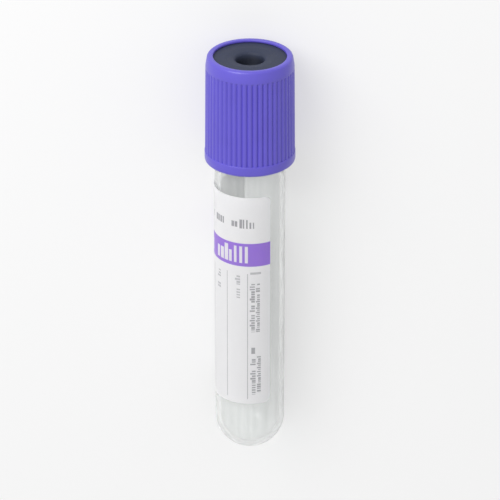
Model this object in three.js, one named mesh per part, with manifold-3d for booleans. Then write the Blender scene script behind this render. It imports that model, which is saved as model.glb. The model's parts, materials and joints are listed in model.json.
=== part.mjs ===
/*
 * Vacuum blood collection tube: a clear round-bottomed tube with a wrapped label, closed by a
 * rubber stopper that sits in a ribbed safety cap.
 *
 * Millimetres, +Z up. Every piece is built standing on the tube's axis, with z = 0 at the lowest
 * point of the round bottom. Such a tube can't stand, so the whole is then laid on its side, cap
 * towards +Y, on the cap's foot and the round bottom. The origin is below its middle, on the
 * surface that it lies on.
 */

import * as THREE from "three";
import { mergeVertices } from "three/addons/utils/BufferGeometryUtils.js";
import Module from "manifold-3d";

// ---------------------------------------------------------------- driving dimensions

// Tube
const tubeLength = 75;
const tubeDiameter = 13;
const tubeWall = 1;
const mouthRounding = 0.3;

// Stopper
const headHeight = 5;
const headOverhang = 0.55; // how far the head reaches past the tube's outside
const headChamfer = 0.15;
const plugLength = 8;
const plugLeadIn = 1.5; // length of the taper at the plug's foot
const sealDepth = 0.3; // how far a seal stands out from the plug's core
const sealHeight = 1;
const sealPitch = 2.1;
const wellDiameter = 5; // where the needle enters
const wellDepth = 3;
const wellRounding = 0.7;
const hollowDiameter = 6; // open underside of the plug
const diaphragm = 3.75; // rubber left between the well and the hollow

// Cap
const capLength = 20.5;
const capWall = 0.9; // between the skirt's bore and the bottom of the grooves
const capDraft = 0.2; // how much smaller the radius is at the top than at the foot
const capShoulderTaper = 0.3; // how much the radius shrinks along the smooth band on top
const capTopRounding = 0.5;
const capFootChamfer = 0.2;
const capEntryChamfer = 0.3;
const lipThickness = 0.45; // the lip holds the head down and leaves it slightly sunk
const lipReach = 0.1;
const beadHeight = 0.8; // the bead holds the head from below
const ribCount = 52;
const ribDepth = 0.25;
const ribCrest = 0.6; // share of the pitch that is crest
const ribFade = 0.3; // length over which a groove runs out at its top
const topBand = 2.2; // smooth band above the ribs
const footBand = 1.9; // height of the proud band below the ribs
const footBandStep = 0.15; // how far it stands out from the ribs
const footBandSides = 20; // wide enough facets that the cap doesn't roll on them
const footBandHollow = 0.04; // how far a facet is hollowed, so that it bears on its two edges
const finCount = 10;
const finThickness = 0.8;
const finSetback = 1.5; // from the skirt's foot to the fins
const finHeadroom = 2; // from the fins to the bead

// Label
const labelWidth = 23.8; // measured round the tube
const labelThickness = 0.1;
const labelCorner = 1.2;
const labelDrop = 5; // from the cap's foot to the label's top
const labelFootMargin = 5.5; // from the label's foot to where the round bottom begins
const labelEdge = 34; // degrees from the upper side to the label's right edge

// Fits
const plugClearance = 0.06; // seal to bore, all round
const seatGap = 0.05; // between faces that meet
const guideClearance = 0.2; // bead and fins to the tube's outside

// ---------------------------------------------------------------- derived places

const tubeRadius = tubeDiameter / 2;
const boreRadius = tubeRadius - tubeWall;
const mouthZ = tubeLength;

const headRadius = tubeRadius + headOverhang;
const headFootZ = mouthZ + seatGap;
const headTopZ = headFootZ + headHeight;
const wellFloorZ = headTopZ - wellDepth;
const hollowTopZ = wellFloorZ - diaphragm;
const plugFootZ = headFootZ - plugLength;
const sealRadius = boreRadius - plugClearance;
const coreRadius = sealRadius - sealDepth;

const capTopZ = headTopZ + seatGap + lipThickness;
const capFootZ = capTopZ - capLength;
const skirtBore = headRadius + seatGap;
const guideRadius = tubeRadius + guideClearance;
const capFootRadius = skirtBore + capWall + ribDepth;
const footBandRadius = capFootRadius + footBandStep;

// Round faces have as many facets as the cap has ribs, and one facet faces straight down (+y
// here), so that the pieces line up and lie still on a flat surface.
const sides = ribCount;
const facet = (2 * Math.PI) / sides;
const down = Math.PI;

// Steps that stand for an arc in a profile
const roundEndSteps = 10;
const roundingSteps = 3;

// ---------------------------------------------------------------- materials

const material = (color, roughness, options = {}) =>
  new THREE.MeshStandardMaterial({ color, roughness, metalness: 0, ...options });

const clearPlastic = material(0xdfe3e2, 0.08, { transparent: true, opacity: 0.35 });
const violetPlastic = material(0x5f57b8, 0.42);
const darkRubber = material(0x4c515e, 0.7);
const labelPaper = material(0xe4e3e8, 0.5);

// ---------------------------------------------------------------- solids

const wasm = await Module();
wasm.setup();

/** Merges equal corners and drops the flat triangles that a profile leaves on the axis. */
function closed(geometry) {
  geometry.deleteAttribute("normal");
  geometry.deleteAttribute("uv");
  const merged = mergeVertices(geometry);
  const corners = merged.index.array;
  const kept = [];
  for (let i = 0; i < corners.length; i += 3) {
    const [a, b, c] = corners.slice(i, i + 3);
    if (a !== b && b !== c && c !== a) kept.push(a, b, c);
  }
  merged.setIndex(kept);
  return merged;
}

/** Revolves a closed [radius, z] profile, listed with its material on the left. */
function revolve(profile) {
  const points = profile.map(([radius, z]) => new THREE.Vector2(radius, z));
  const geometry = new THREE.LatheGeometry(points, sides, down - facet / 2);
  return closed(geometry.rotateX(Math.PI / 2));
}

/** Points of an arc in a profile, from one angle to another in degrees. */
function arc(centreRadius, centreZ, radius, from, to, steps) {
  return Array.from({ length: steps + 1 }, (_, i) => {
    const angle = THREE.MathUtils.degToRad(from + ((to - from) * i) / steps);
    return [centreRadius + radius * Math.cos(angle), centreZ + radius * Math.sin(angle)];
  });
}

/** The point at an angle round the axis, counted from the upper side (-y) towards +x. */
function around(angle, radius, z) {
  return new THREE.Vector3(radius * Math.sin(angle), -radius * Math.cos(angle), z);
}

/** Joins rings of equally many points into a closed body, with a flat face at each end. */
function loft(rings) {
  const count = rings[0].length;
  const positions = rings.flat().flatMap((point) => point.toArray());
  const faces = [];
  for (let level = 0; level + 1 < rings.length; level++) {
    for (let i = 0; i < count; i++) {
      const a = level * count + i;
      const b = level * count + ((i + 1) % count);
      faces.push(a, b, b + count, a, b + count, a + count);
    }
  }
  const last = (rings.length - 1) * count;
  for (let i = 1; i + 1 < count; i++) {
    faces.push(0, i + 1, i, last, last + i, last + i + 1);
  }
  const geometry = new THREE.BufferGeometry();
  geometry.setAttribute("position", new THREE.Float32BufferAttribute(positions, 3));
  geometry.setIndex(faces);
  return geometry;
}

function toSolid(geometry) {
  return new wasm.Manifold(
    new wasm.Mesh({
      numProp: 3,
      vertProperties: new Float32Array(geometry.attributes.position.array),
      triVerts: new Uint32Array(geometry.index.array),
    }),
  );
}

function toGeometry(solid) {
  const { vertProperties, triVerts } = solid.getMesh();
  const geometry = new THREE.BufferGeometry();
  geometry.setAttribute("position", new THREE.BufferAttribute(vertProperties, 3));
  geometry.setIndex(new THREE.BufferAttribute(triVerts, 1));
  return geometry;
}

function piece(name, geometry, finish) {
  geometry.computeVertexNormals();
  const mesh = new THREE.Mesh(geometry, finish);
  mesh.name = name;
  return mesh;
}

// ---------------------------------------------------------------- tube

/** The clear tube: one wall with a round bottom and a softened mouth. */
function makeTube() {
  const rounding = Math.min(mouthRounding, tubeWall / 3);
  const roundingZ = mouthZ - rounding;
  const profile = [
    ...arc(0, tubeRadius, tubeRadius, -90, 0, roundEndSteps),
    ...arc(tubeRadius - rounding, roundingZ, rounding, 0, 90, roundingSteps),
    ...arc(boreRadius + rounding, roundingZ, rounding, 90, 180, roundingSteps),
    ...arc(0, tubeRadius, boreRadius, 0, -90, roundEndSteps),
  ];
  return piece("tube", revolve(profile), clearPlastic);
}

// ---------------------------------------------------------------- stopper

/** The seals round the plug, as profile points from the foot up. */
function sealProfile() {
  const startZ = plugFootZ + plugLeadIn;
  const count = Math.floor((headFootZ - startZ) / sealPitch);
  const points = [];
  for (let i = 0; i < count; i++) {
    const z = startZ + sealPitch * (i + 0.5);
    points.push([coreRadius, z - sealHeight / 2]);
    points.push([sealRadius, z - sealHeight / 4]);
    points.push([sealRadius, z + sealHeight / 4]);
    points.push([coreRadius, z + sealHeight / 2]);
  }
  return points;
}

/** The rubber stopper: a flanged head with a well, and a hollow plug with seals round it. */
function makeStopper() {
  const hollowRadius = hollowDiameter / 2;
  const wellRadius = wellDiameter / 2;
  const profile = [
    [0, hollowTopZ],
    [hollowRadius, hollowTopZ],
    [hollowRadius, plugFootZ],
    [coreRadius - sealDepth, plugFootZ],
    [coreRadius, plugFootZ + plugLeadIn],
    ...sealProfile(),
    [coreRadius, headFootZ],
    [headRadius, headFootZ],
    [headRadius, headTopZ - headChamfer],
    [headRadius - headChamfer, headTopZ],
    ...arc(wellRadius + wellRounding, headTopZ - wellRounding, wellRounding, 90, 180, roundingSteps),
    [wellRadius, wellFloorZ],
    [0, wellFloorZ],
  ];
  return piece("stopper", revolve(profile), darkRubber);
}

// ---------------------------------------------------------------- cap

/** The cap's outside radius at a height, with its draft. */
function capRadiusAt(z) {
  return capFootRadius - (capDraft * (z - capFootZ)) / capLength;
}

/** One ring of the cap's outside: each rib has two crest corners and shares a groove corner. */
function ribRing(z, radius, depth) {
  const halfCrest = (facet * ribCrest) / 2;
  const ring = [];
  for (let i = 0; i < ribCount; i++) {
    const crest = down + i * facet;
    ring.push(around(crest - halfCrest, radius, z));
    ring.push(around(crest + halfCrest, radius, z));
    ring.push(around(crest + facet / 2, radius - depth, z));
  }
  return ring;
}

/** The ribbed body of the cap, full inside, from within the foot band to the tapered shoulder. */
function ribbedBody() {
  const startZ = capFootZ + footBand / 2;
  const ribTopZ = capTopZ - topBand;
  const roundingZ = capTopZ - capTopRounding;
  const roundingCentre = capRadiusAt(roundingZ) - capShoulderTaper - capTopRounding;
  return loft([
    ribRing(startZ, capRadiusAt(startZ), ribDepth),
    ribRing(ribTopZ - ribFade, capRadiusAt(ribTopZ - ribFade), ribDepth),
    ribRing(ribTopZ, capRadiusAt(ribTopZ), 0),
    ...arc(roundingCentre, roundingZ, capTopRounding, 0, 90, roundingSteps).map(([radius, z]) =>
      ribRing(z, radius, 0),
    ),
  ]);
}

/** The proud band round the cap's foot, full inside, with both rims broken. */
function footBandBody() {
  const halfSide = Math.PI / footBandSides;
  const ring = (z, radius) =>
    Array.from({ length: footBandSides }, (_, i) => {
      const edge = down + (2 * i + 1) * halfSide;
      const middleRadius = radius * Math.cos(halfSide) - footBandHollow;
      return [around(edge, radius, z), around(edge + halfSide, middleRadius, z)];
    }).flat();
  const topZ = capFootZ + footBand;
  return loft([
    ring(capFootZ, footBandRadius - capFootChamfer),
    ring(capFootZ + capFootChamfer, footBandRadius),
    ring(topZ - capFootChamfer, footBandRadius),
    ring(topZ, footBandRadius - capFootChamfer),
  ]);
}

/** What is hollowed out of the cap: the skirt's bore, the head's seat and the opening on top. */
function capHollow() {
  const beyond = 1;
  const beadFootZ = mouthZ - beadHeight;
  const beadSlopeZ = beadFootZ - (skirtBore - guideRadius);
  const lipFootZ = capTopZ - lipThickness;
  const lipBore = headRadius - lipReach;
  return revolve([
    [0, capFootZ - beyond],
    [skirtBore + capEntryChamfer, capFootZ - beyond],
    [skirtBore + capEntryChamfer, capFootZ],
    [skirtBore, capFootZ + capEntryChamfer],
    [skirtBore, beadSlopeZ],
    [guideRadius, beadFootZ],
    [guideRadius, mouthZ],
    [skirtBore, mouthZ],
    [skirtBore, lipFootZ],
    [lipBore, lipFootZ],
    [lipBore, capTopZ + beyond],
    [0, capTopZ + beyond],
  ]);
}

/** The fins inside the skirt, which keep the cap straight on the tube. */
function capFins() {
  const footZ = capFootZ + finSetback;
  const height = mouthZ - beadHeight - finHeadroom - footZ;
  const reach = skirtBore + capWall / 2 - guideRadius;
  return Array.from({ length: finCount }, (_, i) => {
    const fin = new THREE.BoxGeometry(finThickness, reach, height);
    fin.translate(0, guideRadius + reach / 2, footZ + height / 2);
    return toSolid(closed(fin.rotateZ((i * 2 * Math.PI) / finCount)));
  });
}

/** The safety cap: a ribbed skirt that holds the stopper between a lip and a bead. */
function makeCap() {
  const outside = toSolid(ribbedBody()).add(toSolid(footBandBody()));
  let cap = outside.subtract(toSolid(capHollow()));
  for (const fin of capFins()) cap = cap.add(fin);
  return piece("cap", toGeometry(cap), violetPlastic);
}

// ---------------------------------------------------------------- label

/** How far along the tube a rounded label corner cuts in, at a distance from the side edge. */
function cornerInset(distance) {
  const missing = Math.max(labelCorner - distance, 0);
  return labelCorner - Math.sqrt(labelCorner ** 2 - missing ** 2);
}

/** The label: a thin sheet bent round the tube's facets, with rounded corners. */
function makeLabel() {
  const inner = tubeRadius + seatGap;
  const outer = inner + labelThickness;
  const right = THREE.MathUtils.degToRad(labelEdge);
  const left = right - labelWidth / outer;
  const corner = labelCorner / outer;
  const topZ = capFootZ - labelDrop;
  const footZ = tubeRadius + labelFootMargin;

  const angles = [];
  for (const [inset] of arc(corner, 0, corner, 180, 90, roundingSteps)) {
    angles.push(left + inset, right - inset);
  }
  const firstFold = Math.ceil((left + corner - down) / facet - 0.5);
  const foldAt = (i) => down + (i + 0.5) * facet;
  for (let i = firstFold; foldAt(i) < right - corner; i++) angles.push(foldAt(i));
  angles.sort((a, b) => a - b);

  const rings = angles.map((angle) => {
    const inset = cornerInset(Math.min(angle - left, right - angle) * outer);
    const offFold = THREE.MathUtils.euclideanModulo(angle - down + facet / 2, facet) - facet / 2;
    const flat = Math.cos(facet / 2) / Math.cos(offFold);
    return [
      around(angle, inner * flat, footZ + inset),
      around(angle, inner * flat, topZ - inset),
      around(angle, outer * flat, topZ - inset),
      around(angle, outer * flat, footZ + inset),
    ];
  });
  return piece("label", loft(rings), labelPaper);
}

// ---------------------------------------------------------------- assembly

/** The slope at which the tube lies on the cap's foot and on the end of its straight wall. */
function restingTilt() {
  const footZ = capFootZ + capFootChamfer;
  const capReach = footBandRadius * Math.cos(Math.PI / footBandSides);
  const tubeReach = tubeRadius * Math.cos(facet / 2);
  return Math.atan2(capReach - tubeReach, footZ - tubeRadius);
}

const laidDown = new THREE.Group();
laidDown.add(makeTube(), makeStopper(), makeCap(), makeLabel());
laidDown.rotation.x = restingTilt() - Math.PI / 2;

const box = new THREE.Box3().setFromObject(laidDown, true);
const middle = box.getCenter(new THREE.Vector3());
laidDown.position.set(-middle.x, -middle.y, -box.min.z);

const bloodCollectionTube = new THREE.Group();
bloodCollectionTube.add(laidDown);

export default bloodCollectionTube;
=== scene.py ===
"""Dresses a blood collection tube: clear tube, rubber stopper, ribbed cap and printed label.

Every piece is modelled standing on the tube's axis, with the round end's pole at the origin, and
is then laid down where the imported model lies. Standing, +Z runs towards the cap and -Y is the
upper side. Lengths are in metres, and MM turns millimetres into them.
"""

import json
import math

import bmesh
import bpy
from bpy.props import FloatProperty, FloatVectorProperty, IntProperty, PointerProperty
from bpy.types import Operator, Panel, PropertyGroup
from mathutils import Matrix, Vector


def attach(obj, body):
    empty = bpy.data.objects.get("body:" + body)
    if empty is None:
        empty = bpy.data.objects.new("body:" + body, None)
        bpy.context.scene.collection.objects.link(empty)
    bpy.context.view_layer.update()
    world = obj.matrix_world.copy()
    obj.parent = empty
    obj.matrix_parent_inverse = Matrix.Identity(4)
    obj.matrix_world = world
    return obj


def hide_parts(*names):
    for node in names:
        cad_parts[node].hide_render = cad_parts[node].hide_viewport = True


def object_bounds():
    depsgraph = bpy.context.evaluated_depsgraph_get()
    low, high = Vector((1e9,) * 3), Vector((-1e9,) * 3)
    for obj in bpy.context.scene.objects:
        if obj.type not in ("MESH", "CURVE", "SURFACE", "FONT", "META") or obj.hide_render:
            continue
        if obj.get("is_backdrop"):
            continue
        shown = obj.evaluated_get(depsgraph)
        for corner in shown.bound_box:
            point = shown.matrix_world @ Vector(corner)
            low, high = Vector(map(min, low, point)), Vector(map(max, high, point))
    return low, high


bl_info = {
    "name": "Blood Collection Tube",
    "version": (1, 0, 0),
    "blender": (4, 5, 0),
    "location": "3D View > Sidebar > Blood Tube",
    "description": "Models a blood collection tube that lies on its side",
    "category": "Add Mesh",
}

MM = 0.001
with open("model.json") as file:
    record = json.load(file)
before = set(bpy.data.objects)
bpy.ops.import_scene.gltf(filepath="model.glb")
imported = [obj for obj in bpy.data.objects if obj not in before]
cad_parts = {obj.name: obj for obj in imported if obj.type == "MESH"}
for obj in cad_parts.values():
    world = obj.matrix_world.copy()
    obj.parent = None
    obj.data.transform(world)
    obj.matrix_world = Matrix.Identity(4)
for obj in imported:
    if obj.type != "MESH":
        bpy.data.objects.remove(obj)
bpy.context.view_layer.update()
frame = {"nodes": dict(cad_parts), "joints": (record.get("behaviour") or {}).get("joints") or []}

# ------------------------------------------------------------------ places on the frame

AXIS = Vector(frame["joints"][0]["axis"]).normalized()
TILT = math.atan2(AXIS.z, AXIS.y)
LYING = (TILT - math.pi / 2, 0, 0)
UPWARD = Vector((0, -math.sin(TILT), math.cos(TILT)))


def corners_of(node):
    """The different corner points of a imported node."""
    points = {tuple(round(c, 7) for c in v.co) for v in frame["nodes"][node].data.vertices}
    return [Vector(point) for point in sorted(points)]


TUBE_CORNERS = corners_of("tube")
MIDDLE = sum(TUBE_CORNERS, Vector()) / len(TUBE_CORNERS)
POLE = MIDDLE + AXIS * min((corner - MIDDLE).dot(AXIS) for corner in TUBE_CORNERS)


def span(node):
    """Where a node starts and ends along the axis, and how far it reaches from the axis."""
    steps = [corner - POLE for corner in corners_of(node)]
    along = [step.dot(AXIS) for step in steps]
    out = [(step - AXIS * reach).length for step, reach in zip(steps, along)]
    return min(along), max(along), max(out)


TUBE_MOUTH, TUBE_RADIUS = span("tube")[1:]
PLUG_FOOT, STOPPER_FACE, HEAD_RADIUS = span("stopper")
CAP_FOOT, CAP_TOP = span("cap")[:2]
LABEL_FOOT, LABEL_TOP, LABEL_RADIUS = span("label")

# ------------------------------------------------------------------ sizes and colours


def srgb(red, green, blue):
    """A colour written as screen values from 0 to 255, as linear light."""
    parts = (value / 255 for value in (red, green, blue))
    return [p / 12.92 if p <= 0.04045 else ((p + 0.055) / 1.055) ** 2.4 for p in parts]


def size(name, description, default):
    """A length that can be changed."""
    return FloatProperty(
        name=name, description=description, default=default, min=0, precision=5, unit="LENGTH"
    )


def angle(name, description, degrees):
    """An angle that can be changed, its default in degrees."""
    return FloatProperty(
        name=name, description=description, default=math.radians(degrees), subtype="ANGLE"
    )


def colour(name, description, default):
    """A colour that can be changed, its default as linear light."""
    return FloatVectorProperty(
        name=name, description=description, default=default, min=0, max=1, subtype="COLOR"
    )


class TubeSettings(PropertyGroup):
    length: size("Length", "From the round end to the mouth", TUBE_MOUTH)
    radius: size("Radius", "Outside radius of the straight wall", TUBE_RADIUS)
    wall: size("Wall", "Thickness of the wall", 1 * MM)
    mouth_rounding: size("Mouth rounding", "Rounding of the mouth's edges", 0.3 * MM)
    gate_radius: size("Gate radius", "Radius of the moulding mark in the round end", 0.6 * MM)
    gate_depth: size("Gate depth", "Depth of the moulding mark in the round end", 0.12 * MM)
    tint: colour("Tint", "Colour of the clear plastic", (0.96, 0.972, 0.967))


class StopperSettings(PropertyGroup):
    face: size("Face", "Height of the pierced face", STOPPER_FACE)
    head_radius: size("Head radius", "Radius of the head above the mouth", HEAD_RADIUS)
    seat_gap: size("Seat gap", "Room between the head and the mouth", 0.05 * MM)
    plug_foot: size("Plug foot", "Height of the plug's open underside", PLUG_FOOT)
    plug_radius: size("Plug radius", "Radius of the plug between its seals", 5.14 * MM)
    lead_in: size("Lead-in", "Height of the plug's tapered foot", 1.5 * MM)
    taper: size("Taper", "How much slimmer the plug is at its foot", 0.3 * MM)
    seal_radius: size("Seal radius", "Radius of the plug's seals", 5.44 * MM)
    seal_height: size("Seal height", "Height of one seal", 1 * MM)
    seal_pitch: size("Seal pitch", "From one seal to the next", 2.1 * MM)
    seals: IntProperty(name="Seals", description="Seals round the plug", default=3, min=0)
    well_radius: size("Well radius", "Radius of the needle well", 2.5 * MM)
    well_depth: size("Well depth", "Depth of the needle well", 3 * MM)
    well_flare: size("Well flare", "How much wider the well is at its mouth", 0.15 * MM)
    well_draft: size("Well draft", "How much narrower the well is at its floor", 0.2 * MM)
    well_rounding: size("Well rounding", "Rounding of the well's edge", 0.7 * MM)
    dish_radius: size("Dish radius", "Radius of the shallow dish round the well", 4.4 * MM)
    dish_depth: size("Dish depth", "Depth of the shallow dish round the well", 0.2 * MM)
    hollow_radius: size("Hollow radius", "Radius of the hollow under the plug", 3 * MM)
    hollow_top: size("Hollow top", "Height at which the hollow ends", 73.3 * MM)
    rubber: colour("Rubber", "Colour of the rubber", srgb(43, 50, 71))


class CapSettings(PropertyGroup):
    foot: size("Foot", "Height of the skirt's foot", CAP_FOOT)
    top: size("Top", "Height of the rim", CAP_TOP)
    band_radius: size("Band radius", "Radius of the smooth band round the foot", 8.29 * MM)
    band_height: size("Band height", "Height of the smooth band round the foot", 1.9 * MM)
    rib_radius: size("Rib radius", "Radius over the ribs, at the foot", 8.22 * MM)
    draft: size("Draft", "How much smaller the ribs' radius would be at the rim", 0.2 * MM)
    shoulder: size("Shoulder", "Height of the smooth band under the rim", 2.2 * MM)
    straight: size("Straight", "Height of that band's foot, before it tapers", 0.4 * MM)
    taper_rounding: size("Taper rounding", "Rounding where the taper starts", 4 * MM)
    rim_radius: size("Rim radius", "Radius of the rim, where the taper ends", 7.72 * MM)
    rim_rounding: size("Rim rounding", "Rounding of the rim's outer edge", 0.5 * MM)
    ribs: IntProperty(name="Ribs", description="Ribs round the cap", default=52, min=8)
    rib_depth: size("Rib depth", "Depth of the grooves between the ribs", 0.25 * MM)
    lip_radius: size("Lip radius", "Radius of the opening over the stopper", 6.65 * MM)
    lip: size("Lip", "Thickness of the lip over the stopper", 0.45 * MM)
    bore: size("Bore", "Radius of the skirt's inside", 7.1 * MM)
    guide: size("Guide", "Radius inside the bead and the fins", 6.7 * MM)
    flare: size("Flare", "How far and how high the skirt's foot opens out", 0.3 * MM)
    bead: size("Bead", "Height of the bead under the stopper's head", 0.8 * MM)
    bead_slope: size("Bead slope", "Height of the slope under the bead", 0.4 * MM)
    fins: IntProperty(name="Fins", description="Guide fins in the skirt", default=10, min=1)
    fin_width: size("Fin width", "Thickness of a guide fin", 0.8 * MM)
    fin_slope: size("Fin slope", "Height of the slope at a fin's ends", 0.4 * MM)
    fin_setback: size("Fin setback", "From the skirt's foot to the fins", 1.5 * MM)
    fin_headroom: size("Fin headroom", "From the fins to the bead", 2 * MM)
    plastic: colour("Plastic", "Colour of the cap", srgb(94, 83, 195))


class LabelSettings(PropertyGroup):
    foot: size("Foot", "Height of the label's lower edge", LABEL_FOOT)
    top: size("Top", "Height of the label's upper edge", LABEL_TOP)
    radius: size("Radius", "Radius of the printed face", LABEL_RADIUS)
    width: size("Width", "Width measured round the tube", 23.8 * MM)
    corner: size("Corner", "Rounding of the label's corners", 1.2 * MM)
    thickness: size("Thickness", "Thickness of the label", 0.1 * MM)
    edge: angle("Edge", "From the upper side round to the label's right edge", 34)
    paper: colour("Paper", "Colour of the unprinted label", srgb(242, 241, 245))
    band: colour("Band", "Colour of the printed band", srgb(153, 117, 216))
    ink: colour("Ink", "Colour of the fine print", srgb(84, 84, 92))


class StageSettings(PropertyGroup):
    floor: colour("Floor", "Colour of the floor", (0.86, 0.86, 0.86))
    sky: FloatProperty(name="Sky", description="Light from all round", default=0.68, min=0)
    lamp: FloatProperty(
        name="Lamp", description="Power of the soft lamp", default=1.5, min=0, unit="POWER"
    )
    lamp_size: size("Lamp size", "Width of the soft lamp", 0.3)
    lamp_place: FloatVectorProperty(
        name="Lamp place",
        description="Where the soft lamp hangs",
        default=(-0.22, 0.33, 0.3),
        subtype="TRANSLATION",
        unit="LENGTH",
    )
    elevation: angle("Elevation", "The view's turn from square on towards the cap", 27.4)
    distance: size("Distance", "From the tube to the camera", 0.607)
    lens: FloatProperty(
        name="Lens", description="Focal length in millimetres", default=236, min=1, unit="CAMERA"
    )


class BloodTubeSettings(PropertyGroup):
    tube: PointerProperty(type=TubeSettings)
    stopper: PointerProperty(type=StopperSettings)
    cap: PointerProperty(type=CapSettings)
    label: PointerProperty(type=LabelSettings)
    stage: PointerProperty(type=StageSettings)


# ------------------------------------------------------------------ modelling by hand

SAME_PLACE = 0.002 * MM  # points nearer than this are one point
ARC_STEP = 0.35 * MM  # longest step along a rounded corner


def edit(action="SELECT"):
    bpy.ops.object.mode_set(mode="EDIT")
    bpy.ops.mesh.select_all(action=action)


def stop_editing():
    bpy.ops.object.mode_set(mode="OBJECT")


def new_plane(name, width, height=0):
    """Adds a square and deselects all else. It is the start of every piece."""
    bpy.ops.object.select_all(action="DESELECT")
    bpy.ops.mesh.primitive_plane_add(size=width, location=(0, 0, height))
    piece = bpy.context.object
    piece.name = piece.data.name = name
    return piece


def apply_place():
    bpy.ops.object.transform_apply(location=True, rotation=True, scale=True)


def apply_modifier(piece, name, kind, **settings):
    """Adds a modifier and applies it at once."""
    modifier = piece.modifiers.new(name, kind)
    for setting, value in settings.items():
        setattr(modifier, setting, value)
    bpy.ops.object.modifier_apply(modifier=name)


def select_points(test, what):
    """In edit mode, selects the points whose place passes the test."""
    bpy.ops.mesh.select_mode(type="VERT")
    bpy.ops.mesh.select_all(action="DESELECT")
    mesh = bmesh.from_edit_mesh(bpy.context.object.data)
    chosen = [point for point in mesh.verts if test(point.co)]
    if not chosen:
        raise RuntimeError(f"no points found for {what}")
    for point in chosen:
        point.select_set(True)
    mesh.select_flush_mode()
    bmesh.update_edit_mesh(bpy.context.object.data)


def draw_in(share):
    """Scales the selected points towards the axis."""
    bpy.ops.transform.resize(value=(share, share, 1), center_override=(0, 0, 0))


def softened(corners, closed=False):
    """An outline with rounded corners. A corner is its radius, its height and its rounding."""
    places = [Vector(corner[:2]) for corner in corners]
    outline = []
    for i, (place, corner) in enumerate(zip(places, corners)):
        rounding = corner[2] if len(corner) > 2 else 0
        if not rounding:
            outline.append(place)
            continue
        before = (places[i - 1] - place).normalized()
        after = (places[(i + 1) % len(places)] - place).normalized()
        half = before.angle(after) / 2
        centre = place + (before + after).normalized() * rounding / math.sin(half)
        spoke = place + before * rounding / math.tan(half) - centre
        sweep = math.copysign(math.pi - 2 * half, -before.cross(after))
        steps = max(3, math.ceil(rounding * abs(sweep) / ARC_STEP))
        for step in range(steps + 1):
            outline.append(centre + Matrix.Rotation(sweep * step / steps, 2) @ spoke)
    return outline + outline[:1] if closed else outline


def turn(name, outline, sides):
    """Draws an outline beside the axis and spins it round into a closed body."""
    piece = new_plane(name, MM)
    path = [Vector((point.x, 0, point.y)) for point in outline]
    edit()
    bpy.ops.mesh.merge(type="CENTER")
    bpy.ops.transform.translate(value=path[0])
    for here, there in zip(path, path[1:]):
        bpy.ops.mesh.extrude_vertices_move(TRANSFORM_OT_translate={"value": there - here})
    bpy.ops.mesh.select_all(action="SELECT")
    bpy.ops.mesh.spin(steps=sides, angle=2 * math.pi, center=(0, 0, 0), axis=(0, 0, 1))
    bpy.ops.mesh.select_all(action="SELECT")
    bpy.ops.mesh.remove_doubles(threshold=SAME_PLACE)
    bpy.ops.mesh.normals_make_consistent(inside=False)
    if bmesh.from_edit_mesh(piece.data).calc_volume(signed=True) < 0:
        bpy.ops.mesh.flip_normals()
    stop_editing()
    return piece


def finish_piece(piece, body, node, crease):
    """Lays a standing piece down, smooths it and ties it to the frame."""
    piece.rotation_euler = LYING
    piece.location = POLE
    apply_place()
    bpy.ops.object.shade_smooth_by_angle(angle=math.radians(crease))
    apply_modifier(piece, "even_shading", "WEIGHTED_NORMAL", keep_sharp=True)
    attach(piece, body)
    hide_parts(node)


# ------------------------------------------------------------------ shaders


class Wire:
    """A value on its way through a shader. An expression on it adds Math nodes."""

    def __init__(self, finish, socket):
        self.finish = finish
        self.socket = socket

    def beside(self, name):
        """Another output of the node that this value comes from."""
        return Wire(self.finish, self.socket.node.outputs[name])

    def maths(self, operation, *values):
        inputs = dict(enumerate(values))
        return self.finish.node("ShaderNodeMath", {"operation": operation}, inputs)

    def __add__(self, other):
        return self.maths("ADD", self, other)

    def __sub__(self, other):
        return self.maths("SUBTRACT", self, other)

    def __rsub__(self, other):
        return self.maths("SUBTRACT", other, self)

    def __mul__(self, other):
        return self.maths("MULTIPLY", self, other)

    def __truediv__(self, other):
        return self.maths("DIVIDE", self, other)

    def __rtruediv__(self, other):
        return self.maths("DIVIDE", other, self)

    def __gt__(self, other):
        return self.maths("GREATER_THAN", self, other)

    def __lt__(self, other):
        return self.maths("LESS_THAN", self, other)

    def __or__(self, other):
        return self.maths("MAXIMUM", self, other)

    __radd__ = __add__
    __rmul__ = __mul__

    def floor(self):
        return self.maths("FLOOR", self)

    def fraction(self):
        return self.maths("FRACT", self)

    def within(self, low, high):
        """1 between two values, and 0 elsewhere."""
        return (self > low) * (self < high)


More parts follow.
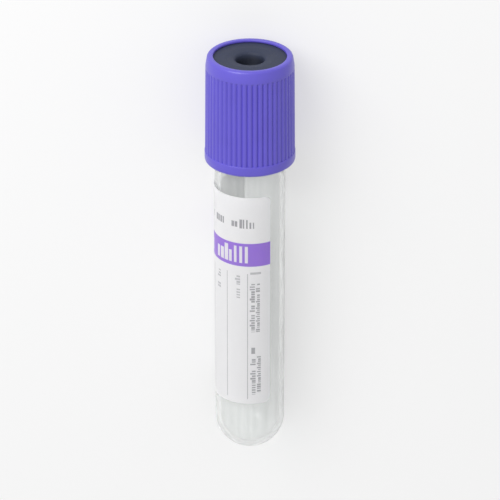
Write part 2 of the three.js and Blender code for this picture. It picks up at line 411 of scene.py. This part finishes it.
class Finish:
    """A material or a sky under construction."""

    def __init__(self, owner):
        owner.use_nodes = True
        self.owner = owner
        self.tree = owner.node_tree
        self.tree.nodes.clear()

    def node(self, kind, settings=None, inputs=None, output=0):
        """Adds a node: its settings first, then the values or wires of its sockets."""
        node = self.tree.nodes.new(kind)
        for name, value in (settings or {}).items():
            setattr(node, name, value)
        for name, value in (inputs or {}).items():
            if isinstance(value, Wire):
                self.tree.links.new(value.socket, node.inputs[name])
            else:
                node.inputs[name].default_value = value
        return Wire(self, node.outputs[output]) if node.outputs else None

    def ends_in(self, surface, output="ShaderNodeOutputMaterial"):
        self.node(output, inputs={"Surface": surface})
        return self.owner

    def principled(self, inputs):
        return self.node("ShaderNodeBsdfPrincipled", inputs=inputs)

    def tube_place(self, stretch=(1, 1, 1)):
        """The place on the standing tube in millimetres, each direction times its stretch."""
        place = self.node("ShaderNodeTexCoord", output="Object")
        standing = {"Vector": place, "Location": POLE, "Rotation": LYING}
        place = self.node("ShaderNodeMapping", {"vector_type": "TEXTURE"}, standing)
        scale = [part / MM for part in stretch]
        return self.node("ShaderNodeMapping", inputs={"Vector": place, "Scale": scale})

    def noise(self, place, scale, detail):
        inputs = {"Vector": place, "Scale": scale, "Detail": detail}
        return self.node("ShaderNodeTexNoise", inputs=inputs)

    def mix(self, share, first, second, blend="MIX"):
        """A blend of two colours, whose sockets go by number because Mix repeats their names."""
        settings = {"data_type": "RGBA", "blend_type": blend}
        return self.node("ShaderNodeMix", settings, {0: share, 6: first, 7: second}, output=2)

    def bump(self, height, strength, distance):
        inputs = {"Height": height, "Strength": strength, "Distance": distance}
        return self.node("ShaderNodeBump", inputs=inputs)


def new_finish(name):
    return Finish(bpy.data.materials.new(name))


def shade(tone, times=1.0):
    """A colour made lighter or darker, as a colour socket takes it."""
    return (*(min(part * times, 1) for part in tone), 1)


def clear_plastic(tint):
    """Clear moulded plastic: a little milky, with faint flow lines along it and a light shadow."""
    finish = new_finish("clear_plastic")
    flow = finish.noise(finish.tube_place((1.1, 1.1, 0.03)), scale=1, detail=3)
    ripple = finish.noise(finish.tube_place((0.2, 0.2, 0.04)), scale=1, detail=1)
    scuff = finish.noise(finish.tube_place((0.5, 0.5, 0.3)), scale=1, detail=4)
    streaks = (flow - 0.5) * 2.5 + 0.5
    plastic = finish.principled(
        {
            "Base Color": finish.mix(streaks, shade(tint), shade(tint, 0.9)),
            "Roughness": scuff * 0.1 + 0.02,
            "IOR": 1.5,
            "Transmission Weight": 0.86,
            "Normal": finish.bump(flow + ripple * 2, strength=0.4, distance=0.05 * MM),
        }
    )
    light = finish.node("ShaderNodeLightPath", output="Is Shadow Ray")
    shadow = finish.node("ShaderNodeBsdfTransparent", inputs={"Color": shade(tint, 0.97)})
    mixed = finish.node("ShaderNodeMixShader", inputs={0: light, 1: plastic, 2: shadow})
    return finish.ends_in(mixed)


def satin_plastic(tone):
    """Satin coloured plastic with a fine moulded grain and a faint unevenness of colour."""
    finish = new_finish("satin_plastic")
    place = finish.tube_place()
    cloud = finish.noise(place, scale=0.22, detail=3)
    grain = finish.noise(place, scale=5.5, detail=2)
    plastic = finish.principled(
        {
            "Base Color": finish.mix(cloud, shade(tone, 0.93), shade(tone, 1.08)),
            "Roughness": grain * 0.12 + 0.27,
            "IOR": 1.49,
            "Normal": finish.bump(grain, strength=0.18, distance=0.03 * MM),
        }
    )
    return finish.ends_in(plastic)


def butyl_rubber(tone, face, well_radius, well_depth):
    """Matt dark rubber with fine pale specks of bloom, and painted shade down in its well."""
    finish = new_finish("butyl_rubber")
    place = finish.tube_place()
    cloud = finish.noise(place, scale=0.45, detail=3)
    grain = finish.noise(place, scale=7, detail=3)
    specks = finish.noise(place, scale=2.6, detail=1) > 0.68
    rubber = finish.mix(cloud, shade(tone, 0.85), shade(tone, 1.15))
    rubber = finish.mix(specks * 0.35, rubber, shade(tone, 1.9))

    flattened = {0: place, 1: (1, 1, 0)}
    spoke = finish.node("ShaderNodeVectorMath", {"operation": "MULTIPLY"}, flattened)
    radius = finish.node("ShaderNodeVectorMath", {"operation": "LENGTH"}, {0: spoke}, "Value")
    depth = face / MM - finish.node("ShaderNodeSeparateXYZ", inputs={0: place}, output="Z")
    # Painted shade: the base colour darkens with depth down in the needle well, where shade falls.
    painted_shade_by_depth = {"Value": depth, "From Min": 0.5, "From Max": 1.6}
    painted_well_shade = finish.node("ShaderNodeMapRange", {"interpolation_type": "SMOOTHSTEP"}, painted_shade_by_depth)
    margin = 1  # millimetre, which takes in the well's rounded mouth and its floor
    in_well = (radius < well_radius / MM + margin) * (depth < well_depth / MM + margin)
    surface = finish.principled(
        {
            # Painted shade in the well: the rubber is mixed towards a much darker tone there.
            "Base Color": finish.mix(painted_well_shade * in_well * 0.8, rubber, shade(tone, 0.3)),
            "Roughness": cloud * 0.2 + 0.5,
            "IOR": 1.5,
            "Specular IOR Level": 0.35,
            "Normal": finish.bump(grain, strength=0.35, distance=0.04 * MM),
        }
    )
    return finish.ends_in(surface)


# The label's print, in millimetres from its left edge and down from its top. A run of unreadable
# print is where it starts and ends, the rows that it fills, the pitch of its blocks, its seed, its
# share of word gaps and its share of low blocks. Title and banner run across the label, and the
# other two run down it. A strength is how far the print covers what is under it.
TITLE = (
    ((17.9, 20.6), (4.4, 6.2), 0.62, 11, 0.0, 0.4),
    ((16.3, 17.6), (4.4, 6.0), 0.68, 5, 0.3, 1.0),
    ((10.8, 14.8), (4.1, 6.0), 0.68, 3, 0.12, 0.8),
    ((2.4, 9.8), (4.1, 6.0), 0.72, 19, 0.12, 0.7),
)
BANNER = (
    ((16.8, 20.6), (9.9, 13.3), 1.05, 35, 0.1, 0.35),
    ((8.4, 16.8), (9.9, 13.3), 1.05, 27, 0.15, 0.75),
    ((4.2, 7.4), (9.9, 13.3), 1.05, 29, 0.1, 0.35),
)
FINE_PRINT = (
    ((17.6, 27.7), (19.8, 20.75), 0.5, 35, 0.05, 0.7),
    ((17.6, 27.7), (20.95, 21.7), 0.45, 83, 0.05, 0.7),
    ((32.9, 41.0), (19.9, 20.9), 0.5, 43, 0.08, 0.7),
    ((32.9, 40.6), (21.15, 21.9), 0.45, 91, 0.05, 0.7),
)
FAINT_PRINT = (
    ((15.2, 15.9), (19.9, 21.9), 0.7, 99, 0.0, 0.0),
    ((16.0, 20.8), (17.0, 18.0), 0.55, 51, 0.12, 0.7),
    ((16.0, 19.8), (12.6, 13.6), 0.55, 59, 0.12, 0.7),
    ((16.0, 21.2), (8.6, 9.8), 0.55, 67, 0.12, 0.7),
    ((16.0, 18.6), (5.0, 5.9), 0.55, 75, 0.12, 0.7),
)
TITLE_STRENGTH, BANNER_STRENGTH = 0.66, 0.85
FINE_STRENGTH, FAINT_STRENGTH = 0.62, 0.45
BAND_ROWS = (9.3, 14.0)
RULES = (6.31, 11.21, 15.31, 19.41)
RULE_WIDTH = 0.12
RULE_ROWS = (15.5, 42)
RULE_STRENGTH = 0.55

# Two plain marks, a dash as strong as the fine print and a black one: their sides and rows.
MARKS = (((20.1, 20.8), (31.0, 32.3)), ((0.4, 4.3), (30.4, 31.8)))
EYE_MARK_STRENGTH = 0.95

# A block's width as shares of the pitch, how much of its height a low block lacks, and what is
# added to a run's seed to draw its blocks' widths, heights and gaps apart from each other.
NARROWEST, WIDEST = 0.4, 0.85
LOW_CUT = 0.3
WIDTHS, HEIGHTS, GAPS = 0.5, 40.5, 80.5


def run_of_blocks(finish, along, across, run):
    """Where a run is inked: blocks of uneven width and height, parted into words."""
    (start, end), (near, far), pitch, seed, gaps, low = run
    cell = (along - start) / pitch

    def chance(salt):
        inputs = {"W": cell.floor() + (seed + salt)}
        return finish.node("ShaderNodeTexWhiteNoise", {"noise_dimensions": "1D"}, inputs)

    width = chance(WIDTHS) * (WIDEST - NARROWEST) + NARROWEST
    cut = (chance(HEIGHTS) < low) * ((far - near) * LOW_CUT)
    inked = (cell.fraction() < width) * (chance(GAPS) > gaps)
    return inked * along.within(start, end) * (across > cut + near) * (across < far)


def any_of(marks):
    """Where at least one of the marks is."""
    together, *others = marks
    for mark in others:
        together = together | mark
    return together


LETS_LIGHT_THROUGH = {
    "Subsurface Weight": 1.0,
    "Subsurface Radius": (1, 1, 1),
    "Subsurface Scale": 0.3 * MM,
}


def label_print(sizes):
    """Satin label stock with a coloured band, thin rules and fine unreadable print."""
    finish = new_finish("label_print")
    wide, tall = sizes.width / MM, (sizes.top - sizes.foot) / MM
    sheet = finish.node("ShaderNodeUVMap", {"uv_map": "print"})
    unrolled = {"Vector": sheet, "Location": (0, tall, 0), "Scale": (wide, -tall, 1)}
    flat = finish.node("ShaderNodeMapping", inputs=unrolled)
    right = finish.node("ShaderNodeSeparateXYZ", inputs={0: flat}, output="X")
    down = right.beside("Y")

    def across(runs):
        return any_of(run_of_blocks(finish, right, down, run) for run in runs)

    def downwards(runs):
        return any_of(run_of_blocks(finish, down, right, run) for run in runs)

    rules = any_of(right.within(rule - RULE_WIDTH / 2, rule + RULE_WIDTH / 2) for rule in RULES)
    dash, eye_mark = (right.within(*sides) * down.within(*rows) for sides, rows in MARKS)
    fine = (downwards(FINE_PRINT) | dash) * FINE_STRENGTH
    faint = downwards(FAINT_PRINT) * FAINT_STRENGTH
    ink = shade(sizes.ink)
    paint = finish.mix(down.within(*BAND_ROWS), shade(sizes.paper), shade(sizes.band))
    paint = finish.mix(across(BANNER) * BANNER_STRENGTH, paint, shade(sizes.paper, 0.97))
    paint = finish.mix(rules * down.within(*RULE_ROWS) * RULE_STRENGTH, paint, ink)
    paint = finish.mix(across(TITLE) * TITLE_STRENGTH, paint, ink)
    paint = finish.mix(fine + faint, paint, ink)
    paint = finish.mix(eye_mark * EYE_MARK_STRENGTH, paint, shade(sizes.ink, 0.15))

    fibres = finish.noise(finish.tube_place(), scale=3.4, detail=4)
    cockle = finish.noise(finish.tube_place((0.25, 0.25, 0.12)), scale=1, detail=2)
    relief = cockle * 3 + fibres * 0.15
    stock = finish.principled(
        {
            "Base Color": finish.mix(fibres * 0.1, paint, (0.5, 0.5, 0.52, 1), "MULTIPLY"),
            "Roughness": cockle * 0.2 + 0.3,
            "IOR": 1.45,
            "Normal": finish.bump(relief, strength=0.2, distance=0.06 * MM),
            **LETS_LIGHT_THROUGH,
        }
    )
    return finish.ends_in(stock)


def label_back(paper):
    """The plain gummed back of the label, seen through the tube, painted lighter than the paper as
    painted light coming through it.
    """
    finish = new_finish("label_back")
    gum = finish.noise(finish.tube_place((0.5, 0.5, 0.2)), scale=1, detail=4)
    gummed = finish.principled(
        {
            # Painted light: the back is lighter than the paper it is cut from, standing in for
            # light through the label.
            "Base Color": finish.mix(gum, shade(paper, 1.1), shade(paper, 1.2)),
            "Roughness": gum * 0.2 + 0.45,
            **LETS_LIGHT_THROUGH,
        }
    )
    return finish.ends_in(gummed)


def white_to_the_eye(finish, lit, seen_share, through_share):
    """Adds white where a surface is seen, mirrored or seen through plastic, and lights nothing."""
    seen = finish.node("ShaderNodeLightPath", output="Is Camera Ray")
    share = (seen | seen.beside("Is Glossy Ray")) * seen_share
    share = share | seen.beside("Is Transmission Ray") * through_share
    white = finish.node("ShaderNodeEmission", inputs={"Color": (1, 1, 1, 1), "Strength": 1.0})
    return finish.node("ShaderNodeMixShader", inputs={0: share, 1: lit, 2: white})


# ------------------------------------------------------------------ pieces

TUBE_SIDES = 128
STOPPER_SIDES = 96
LABEL_STRIPS = 72


class TUBE_OT_clear_tube(Operator):
    """Turn the clear tube: one wall with a round end, a gate mark and a softened mouth"""

    bl_idname = "blood_tube.clear_tube"
    bl_label = "Clear Tube"

    def execute(self, context):
        sizes = context.scene.blood_tube.tube
        bore = sizes.radius - sizes.wall
        outline = softened(
            [
                (0, 0),
                (sizes.radius, 0, sizes.radius),
                (sizes.radius, sizes.length, sizes.mouth_rounding),
                (bore, sizes.length, sizes.mouth_rounding),
                (bore, sizes.wall, bore),
                (0, sizes.wall),
            ]
        )
        piece = turn("clear_tube", outline, TUBE_SIDES)

        def in_gate(p):
            return p.xy.length < sizes.gate_radius and p.z < sizes.wall / 2

        edit("DESELECT")
        select_points(in_gate, "the gate mark")
        bpy.ops.transform.translate(value=(0, 0, sizes.gate_depth))
        stop_editing()
        piece.data.materials.append(clear_plastic(sizes.tint))
        finish_piece(piece, "tube", "tube", crease=50)
        return {"FINISHED"}


class TUBE_OT_stopper(Operator):
    """Turn the rubber stopper: a head with a needle well, and a hollow plug with seals"""

    bl_idname = "blood_tube.stopper"
    bl_label = "Rubber Stopper"

    def execute(self, context):
        sizes = context.scene.blood_tube.stopper
        head_foot = context.scene.blood_tube.tube.length + sizes.seat_gap
        well_floor = sizes.face - sizes.well_depth
        well_mouth = sizes.well_radius + sizes.well_flare
        seals = []
        for i in range(sizes.seals):
            middle = sizes.plug_foot + sizes.lead_in + sizes.seal_pitch * (i + 0.5)
            seals += [
                (sizes.plug_radius, middle - sizes.seal_height / 2, 0.12 * MM),
                (sizes.seal_radius, middle, 0.3 * MM),
                (sizes.plug_radius, middle + sizes.seal_height / 2, 0.12 * MM),
            ]
        outline = softened(
            [
                (0, sizes.hollow_top),
                (sizes.hollow_radius, sizes.hollow_top, 0.5 * MM),
                (sizes.hollow_radius, sizes.plug_foot, 0.25 * MM),
                (sizes.plug_radius - sizes.taper, sizes.plug_foot, 0.25 * MM),
                (sizes.plug_radius, sizes.plug_foot + sizes.lead_in, 0.4 * MM),
                *seals,
                (sizes.plug_radius, head_foot, 0.2 * MM),
                (sizes.head_radius, head_foot, 0.3 * MM),
                (sizes.head_radius, sizes.face, 0.2 * MM),
                (sizes.dish_radius, sizes.face, 0.6 * MM),
                (well_mouth, sizes.face - sizes.dish_depth, sizes.well_rounding),
                (sizes.well_radius - sizes.well_draft, well_floor, 0.8 * MM),
                (0, well_floor),
            ]
        )
        piece = turn("rubber_stopper", outline, STOPPER_SIDES)
        rubber = butyl_rubber(sizes.rubber, sizes.face, sizes.well_radius, sizes.well_depth)
        piece.data.materials.append(rubber)
        finish_piece(piece, "closure", "stopper", crease=40)
        return {"FINISHED"}


# The depth of a groove, as shares of the whole depth: on each column of points from the middle of
# one rib to the next, and on the rows by which it runs out below the shoulder. At its foot it
# starts a little above the band.
GROOVE_SECTION = (0, 0, 0.1, 0.65, 1.0, 0.65, 0.1, 0)
GROOVE_RUNOUT = {0.08 * MM: 0.3, 0.2 * MM: 0.75, 0.4 * MM: 1.0}
GROOVE_CLEARANCE = 0.06 * MM


def mid_wall(sizes):
    """A radius halfway through the skirt, between its inside and its outside points."""
    return (sizes.bore + sizes.rib_radius) / 2


class TUBE_OT_safety_cap(Operator):
    """Turn the safety cap, press the grooves between its ribs and raise its guide fins"""

    bl_idname = "blood_tube.safety_cap"
    bl_label = "Safety Cap"

    def execute(self, context):
        sizes = context.scene.blood_tube.cap
        mouth = context.scene.blood_tube.tube.length
        rib_foot = sizes.foot + sizes.band_height + GROOVE_CLEARANCE
        rib_top = sizes.top - sizes.shoulder
        fin_foot = sizes.foot + sizes.fin_setback
        fin_top = mouth - sizes.bead - sizes.fin_headroom
        rib_rows = [rib_foot, *sorted(rib_top - drop for drop in GROOVE_RUNOUT), rib_top]
        fin_rows = [fin_top, fin_top - sizes.fin_slope, fin_foot + sizes.fin_slope, fin_foot]
        outline = self.outline(sizes, mouth, rib_rows, fin_rows)
        piece = turn("safety_cap", outline, sizes.ribs * len(GROOVE_SECTION))
        edit("DESELECT")
        self.press_grooves(sizes, rib_foot, rib_top)
        self.raise_fins(sizes, fin_foot, fin_top)
        stop_editing()
        piece.data.materials.append(satin_plastic(sizes.plastic))
        finish_piece(piece, "closure", "cap", crease=55)
        return {"FINISHED"}

    def outline(self, sizes, mouth, rib_rows, fin_rows):
        """The cap's section, with a point on each row that is drawn in later."""
        slope = sizes.draft / (sizes.top - sizes.foot)
        band_top = sizes.foot + sizes.band_height
        bead_foot = mouth - sizes.bead
        lip_foot = sizes.top - sizes.lip

        def on_ribs(height, rounding=0):
            return (sizes.rib_radius - slope * (height - sizes.foot), height, rounding)

        return softened(
            [
                (sizes.bore + sizes.flare, sizes.foot, 0.1 * MM),
                (sizes.band_radius, sizes.foot, 0.35 * MM),
                (sizes.band_radius, band_top, 0.12 * MM),
                on_ribs(band_top, 0.02 * MM),
                *(on_ribs(height) for height in rib_rows),
                on_ribs(rib_rows[-1] + sizes.straight, sizes.taper_rounding),
                (sizes.rim_radius, sizes.top, sizes.rim_rounding),
                (sizes.lip_radius, sizes.top, 0.2 * MM),
                (sizes.lip_radius, lip_foot, 0.05 * MM),
                (sizes.bore, lip_foot, 0.05 * MM),
                (sizes.bore, mouth, 0.05 * MM),
                (sizes.guide, mouth, 0.1 * MM),
                (sizes.guide, bead_foot, 0.2 * MM),
                (sizes.bore, bead_foot - sizes.bead_slope, 0.2 * MM),
                *((sizes.bore, height) for height in fin_rows),
                (sizes.bore, sizes.foot + sizes.flare, 0.05 * MM),
            ],
            closed=True,
        )

    def press_grooves(self, sizes, rib_foot, rib_top):
        """Draws the columns between the ribs in, each row as deep as the groove is there."""
        columns = sizes.ribs * len(GROOVE_SECTION)

        def in_groove(share, low, high):
            def test(p):
                column = round(math.atan2(p.y, p.x) / (2 * math.pi) * columns)
                if GROOVE_SECTION[column % len(GROOVE_SECTION)] != share:
                    return False
                outside = p.xy.length > mid_wall(sizes)
                return outside and low - SAME_PLACE < p.z < high + SAME_PLACE

            return test

        for share in sorted(set(GROOVE_SECTION) - {0}):
            for drop, fade in GROOVE_RUNOUT.items():
                row = rib_top - drop
                low = rib_foot if fade == 1 else row
                select_points(in_groove(share, low, row), "a groove")
                draw_in(1 - sizes.rib_depth * share * fade / sizes.rib_radius)

    def raise_fins(self, sizes, fin_foot, fin_top):
        """Draws strips of the inside in, towards the tube."""
        pitch = 2 * math.pi / sizes.fins
        low = fin_foot + sizes.fin_slope / 2
        high = fin_top - sizes.fin_slope / 2

        def on_fin(p):
            turned = math.atan2(p.y, p.x) - math.pi / 2
            off = (turned + pitch / 2) % pitch - pitch / 2
            inside = p.xy.length < mid_wall(sizes)
            return inside and low < p.z < high and abs(off) * sizes.bore < sizes.fin_width / 2

        select_points(on_fin, "the guide fins")
        draw_in(sizes.guide / sizes.bore)


class TUBE_OT_label(Operator):
    """Cut the label with rounded corners, print it and bend it round the tube"""

    bl_idname = "blood_tube.label"
    bl_label = "Printed Label"

    def execute(self, context):
        sizes = context.scene.blood_tube.label
        height = sizes.top - sizes.foot
        wrap = sizes.width / sizes.radius
        piece = new_plane("printed_label", 1)
        piece.scale = (sizes.width, height, 1)
        piece.rotation_euler = (math.pi / 2, 0, 0)
        apply_place()
        edit()
        bpy.ops.mesh.bevel(offset=sizes.corner, segments=6, affect="VERTICES")
        for i in range(1, LABEL_STRIPS):
            place = sizes.width * (i / LABEL_STRIPS - 0.5)
            bpy.ops.mesh.select_all(action="SELECT")
            bpy.ops.mesh.bisect(plane_co=(place, 0, 0), plane_no=(1, 0, 0))
        stop_editing()
        sheet = piece.data.uv_layers.new(name="print")
        for loop in piece.data.loops:
            place = piece.data.vertices[loop.vertex_index].co
            sheet.data[loop.index].uv = (place.x / sizes.width + 0.5, place.z / height + 0.5)
        piece.data.materials.append(label_print(sizes))
        piece.data.materials.append(label_back(sizes.paper))
        stock = {"thickness": sizes.thickness, "material_offset": 1, "material_offset_rim": 1}
        apply_modifier(piece, "stock", "SOLIDIFY", offset=-1, **stock)
        bend = {"deform_method": "BEND", "deform_axis": "Z", "angle": wrap}
        apply_modifier(piece, "bend", "SIMPLE_DEFORM", **bend)
        piece.location = (0, -sizes.radius, (sizes.foot + sizes.top) / 2)
        apply_place()
        piece.rotation_euler = (0, 0, sizes.edge - wrap / 2)
        apply_place()
        finish_piece(piece, "tube", "label", crease=30)
        return {"FINISHED"}


# ------------------------------------------------------------------ stage

FLOOR_WIDTH = 2
AIM = 0.51  # where the camera looks, as a share of the way from the round end to the rim


class TUBE_OT_stage(Operator):
    """Set the floor, the soft light and the camera"""

    bl_idname = "blood_tube.stage"
    bl_label = "Stage"

    def execute(self, context):
        sizes = context.scene.blood_tube.stage
        self.lay_floor(sizes)
        self.light_sky(context.scene, sizes)
        self.hang_lamp(sizes)
        self.place_camera(context.scene, sizes)
        context.scene.view_settings.view_transform = "Standard"
        return {"FINISHED"}

    def lay_floor(self, sizes):
        floor = new_plane("floor", FLOOR_WIDTH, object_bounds()[0].z)
        apply_place()
        finish = new_finish("floor")
        matt = finish.node("ShaderNodeBsdfDiffuse", inputs={"Color": shade(sizes.floor)})
        surface = white_to_the_eye(finish, matt, seen_share=0.5, through_share=0.7)
        floor.data.materials.append(finish.ends_in(surface))
        floor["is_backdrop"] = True

    def light_sky(self, scene, sizes):
        scene.world = bpy.data.worlds.new("sky")
        finish = Finish(scene.world)
        glow = {"Color": (1, 1, 1, 1), "Strength": sizes.sky}
        light = finish.node("ShaderNodeBackground", inputs=glow)
        surface = white_to_the_eye(finish, light, seen_share=1, through_share=1)
        finish.ends_in(surface, "ShaderNodeOutputWorld")

    def hang_lamp(self, sizes):
        place = Vector(sizes.lamp_place)
        bpy.ops.object.light_add(type="AREA", location=place)
        lamp = bpy.context.object
        lamp.name = "soft_lamp"
        lamp.rotation_euler = (-place).to_track_quat("-Z", "Y").to_euler()
        lamp.data.size = sizes.lamp_size
        lamp.data.energy = sizes.lamp
        lamp.visible_camera = False

    def place_camera(self, scene, sizes):
        """Looks down at the tube from the cap's side, with the cap at the top of the view."""
        back = AXIS * math.sin(sizes.elevation) + UPWARD * math.cos(sizes.elevation)
        rise = (AXIS - back * AXIS.dot(back)).normalized()
        turned = Matrix((rise.cross(back), rise, back)).transposed().to_euler()
        target = POLE + AXIS * CAP_TOP * AIM
        bpy.ops.object.camera_add(location=target + back * sizes.distance, rotation=turned)
        camera = bpy.context.object
        camera.name = "camera"
        camera.data.lens = sizes.lens
        scene.camera = camera


# ------------------------------------------------------------------ panel and registration

STEPS = (
    TUBE_OT_clear_tube,
    TUBE_OT_stopper,
    TUBE_OT_safety_cap,
    TUBE_OT_label,
    TUBE_OT_stage,
)


class TUBE_PT_steps(Panel):
    """Lists the steps that make the tube"""

    bl_idname = "TUBE_PT_steps"
    bl_label = "Blood Collection Tube"
    bl_space_type = "VIEW_3D"
    bl_region_type = "UI"
    bl_category = "Blood Tube"

    def draw(self, context):
        for step in STEPS:
            self.layout.operator(step.bl_idname)


CLASSES = (
    TubeSettings,
    StopperSettings,
    CapSettings,
    LabelSettings,
    StageSettings,
    BloodTubeSettings,
    *STEPS,
    TUBE_PT_steps,
)


def register():
    for cls in CLASSES:
        bpy.utils.register_class(cls)
    bpy.types.Scene.blood_tube = PointerProperty(type=BloodTubeSettings)


def unregister():
    del bpy.types.Scene.blood_tube
    for cls in reversed(CLASSES):
        bpy.utils.unregister_class(cls)


def main():
    register()
    bpy.ops.blood_tube.clear_tube()
    bpy.ops.blood_tube.stopper()
    bpy.ops.blood_tube.safety_cap()
    bpy.ops.blood_tube.label()
    bpy.ops.blood_tube.stage()


if __name__ == "__main__":
    main()
